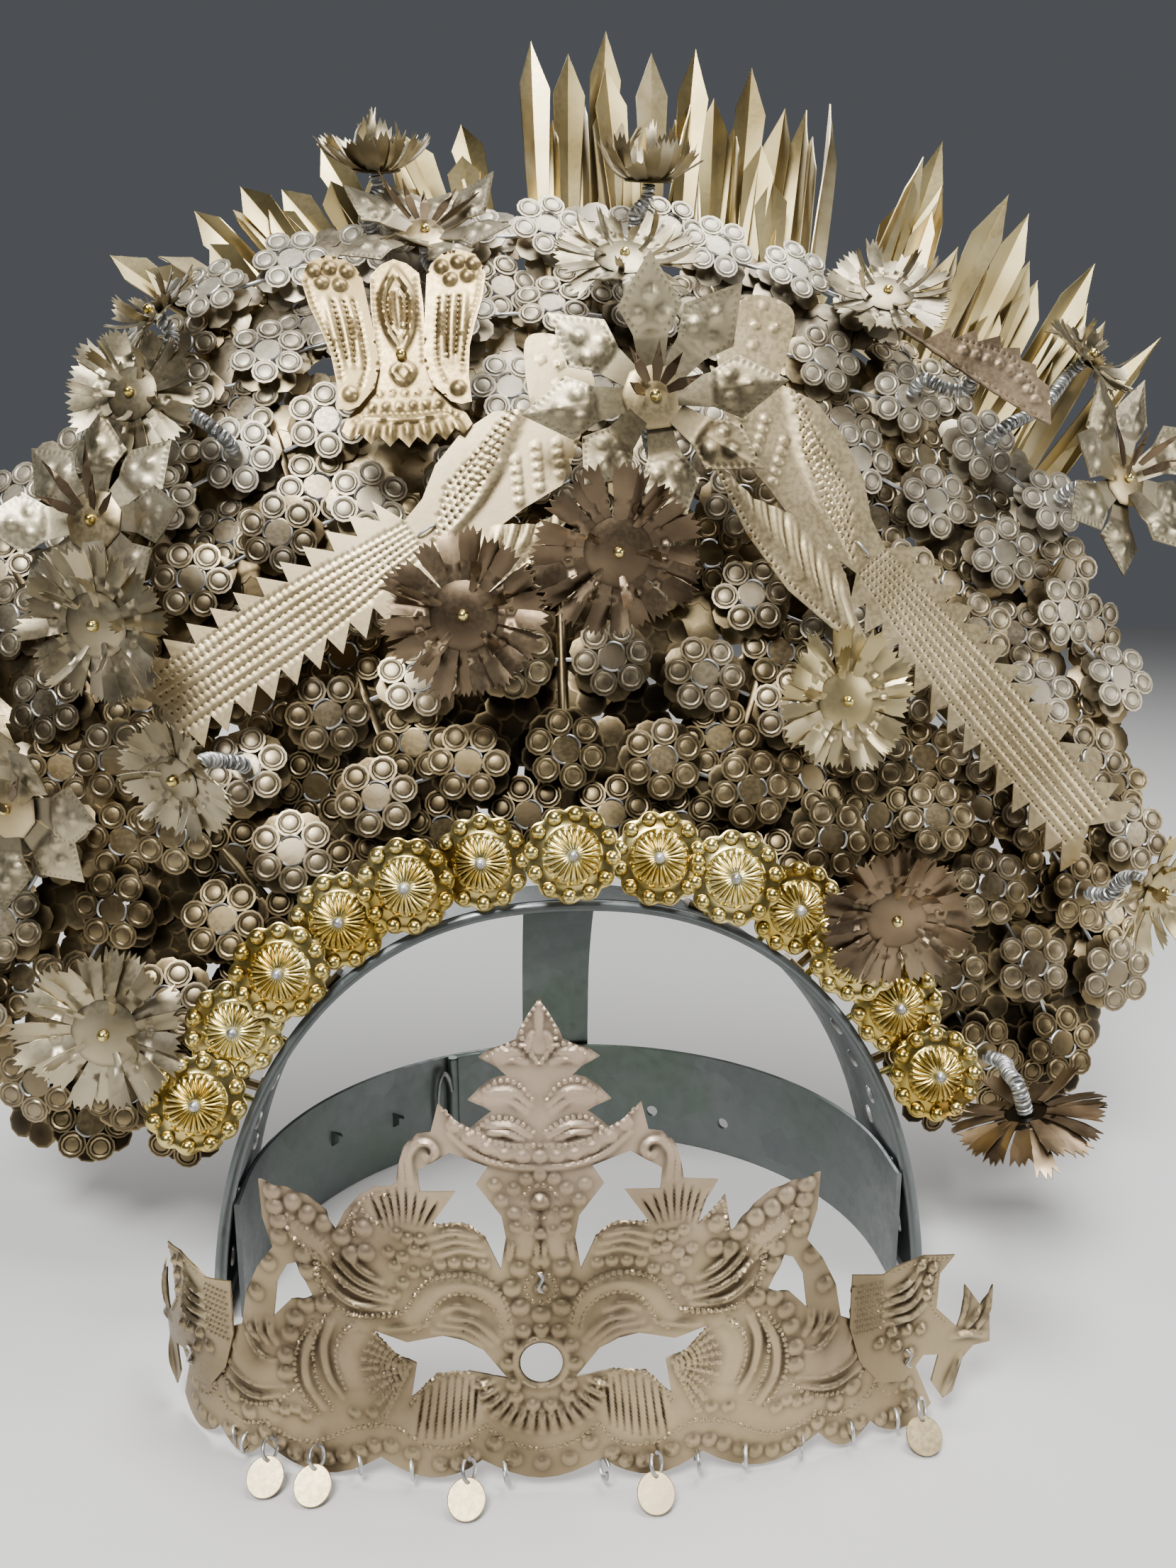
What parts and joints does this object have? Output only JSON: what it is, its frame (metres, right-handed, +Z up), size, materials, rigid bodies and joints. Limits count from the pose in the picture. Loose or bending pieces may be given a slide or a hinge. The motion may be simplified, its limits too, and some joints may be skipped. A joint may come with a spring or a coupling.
{
  "type": "ceremonial headdress",
  "caption": "Ceremonial fan headdress: steel head frame with rim rosettes, rows of metal blossoms, quivering flowers, birds and a leaf crest, with a pierced brow plate standing in front.",
  "frame": {"origin": "middle of the underside of the whole headdress, on the surface it stands on", "axes": "+X to the viewer's right, +Y to the back, +Z up"},
  "size_m": [0.3514, 0.192, 0.3283],
  "materials": {
    "steel": "galvanised sheet, dull",
    "gold": "bright polished",
    "dusty": "tarnished and dusty",
    "bronze": "darkened",
    "plate": "embossed, dull"
  },
  "bodies": {
    "root": {"back_strap_left": "steel", "back_strap_right": "steel", "brow_plate": "plate", "brow_wing_left": "plate", "brow_wing_right": "plate", "crest_centre": "dusty", "crest_left": "dusty", "crest_right": "dusty", "crown_strip": "steel", "drop_1": "plate", "drop_2": "plate", "drop_3": "plate", "drop_4": "plate", "drop_5": "plate", "folded_leaf": "bronze", "front_arch": "steel", "quiver_flower_01": "bronze", "quiver_flower_02": "bronze", "quiver_flower_03": "bronze", "quiver_flower_04": "bronze", "quiver_flower_05": "dusty", "quiver_flower_06": "dusty", "quiver_flower_07": "dusty", "quiver_flower_08": "dusty", "quiver_flower_09": "dusty", "quiver_flower_10": "dusty", "quiver_flower_11": "dusty", "quiver_flower_12": "dusty", "quiver_flower_13": "dusty", "quiver_flower_14": "dusty", "quiver_flower_15": "dusty", "quiver_flower_16": "dusty", "rim_rosette_01": "gold", "rim_rosette_02": "gold", "rim_rosette_03": "gold", "rim_rosette_04": "gold", "rim_rosette_05": "gold", "rim_rosette_06": "gold", "rim_rosette_07": "gold", "rim_rosette_08": "gold", "rim_rosette_09": "gold", "rim_rosette_10": "gold", "rim_rosette_11": "gold", "rim_rosette_12": "gold", "rim_rosette_13": "gold", "spray_1": "dusty", "spray_2": "dusty", "spray_3": "dusty", "spray_4": "dusty", "spray_5": "dusty", "spray_6": "dusty", "spray_7": "dusty", "star_flower_1": "dusty", "star_flower_2": "dusty", "star_flower_3": "dusty", "star_flower_4": "dusty", "star_flower_5": "dusty", "tailed_bird_left": "dusty", "tailed_bird_right": "dusty", "winged_bird": "dusty"}
  },
  "joints": []
}
